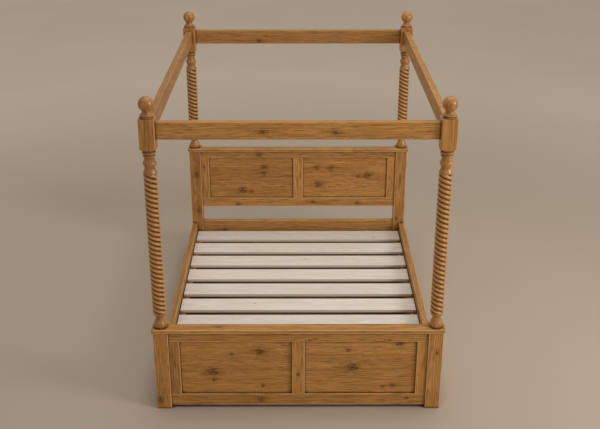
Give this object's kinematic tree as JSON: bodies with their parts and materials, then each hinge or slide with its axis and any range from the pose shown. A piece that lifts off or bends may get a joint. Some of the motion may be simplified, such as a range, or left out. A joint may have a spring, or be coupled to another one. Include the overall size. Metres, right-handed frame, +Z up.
{
  "type": "four poster canopy bed",
  "caption": "Solid pine poster bed with panelled head and foot boards, rope-twist posts with ball finials, a plain rectangular canopy frame and a slatted mattress base.",
  "frame": {"origin": "on the floor, in the middle of the bed", "axes": "+Z up, +Y along the bed towards the head end, +X across the bed to the right as seen from the foot end"},
  "size_m": [1.648, 2.198, 1.865],
  "materials": {
    "upright_pine": "satin",
    "rail_pine": "satin",
    "panel_pine": "satin",
    "turned_pine": "satin",
    "raw_pine_slats": "matte",
    "ledger_pine": "matte",
    "beech_dowel": "matte",
    "zinc_steel": "satin"
  },
  "bodies": {
    "root": {"canopy_dowels": "beech_dowel", "canopy_foot_rail": "rail_pine", "canopy_head_rail": "rail_pine", "canopy_side_rail_left": "rail_pine", "canopy_side_rail_right": "rail_pine", "finial_dowels": "beech_dowel", "foot_finial_left": "turned_pine", "foot_finial_right": "turned_pine", "foot_leg_left": "upright_pine", "foot_leg_right": "upright_pine", "foot_post_left": "turned_pine", "foot_post_right": "turned_pine", "footboard_bottom_rail": "rail_pine", "footboard_cap": "rail_pine", "footboard_left_stile": "upright_pine", "footboard_muntin": "upright_pine", "footboard_panel_left": "panel_pine", "footboard_panel_right": "panel_pine", "footboard_right_stile": "upright_pine", "footboard_top_rail": "rail_pine", "head_finial_left": "turned_pine", "head_finial_right": "turned_pine", "head_leg_left": "upright_pine", "head_leg_right": "upright_pine", "head_post_left": "turned_pine", "head_post_right": "turned_pine", "headboard_bottom_rail": "rail_pine", "headboard_cap": "rail_pine", "headboard_cross_rail": "rail_pine", "headboard_left_stile": "upright_pine", "headboard_muntin": "upright_pine", "headboard_panel_left": "panel_pine", "headboard_panel_right": "panel_pine", "headboard_right_stile": "upright_pine", "headboard_top_rail": "rail_pine", "ledger_screws": "zinc_steel", "post_studs": "zinc_steel", "side_rail_barrel_nuts": "zinc_steel", "side_rail_left": "rail_pine", "side_rail_right": "rail_pine", "side_rail_studs": "zinc_steel", "slat_1": "raw_pine_slats", "slat_2": "raw_pine_slats", "slat_3": "raw_pine_slats", "slat_4": "raw_pine_slats", "slat_5": "raw_pine_slats", "slat_6": "raw_pine_slats", "slat_7": "raw_pine_slats", "slat_8": "raw_pine_slats", "slat_9": "raw_pine_slats", "slat_ledger_left": "ledger_pine", "slat_ledger_right": "ledger_pine", "slat_screws": "zinc_steel"}
  },
  "joints": []
}
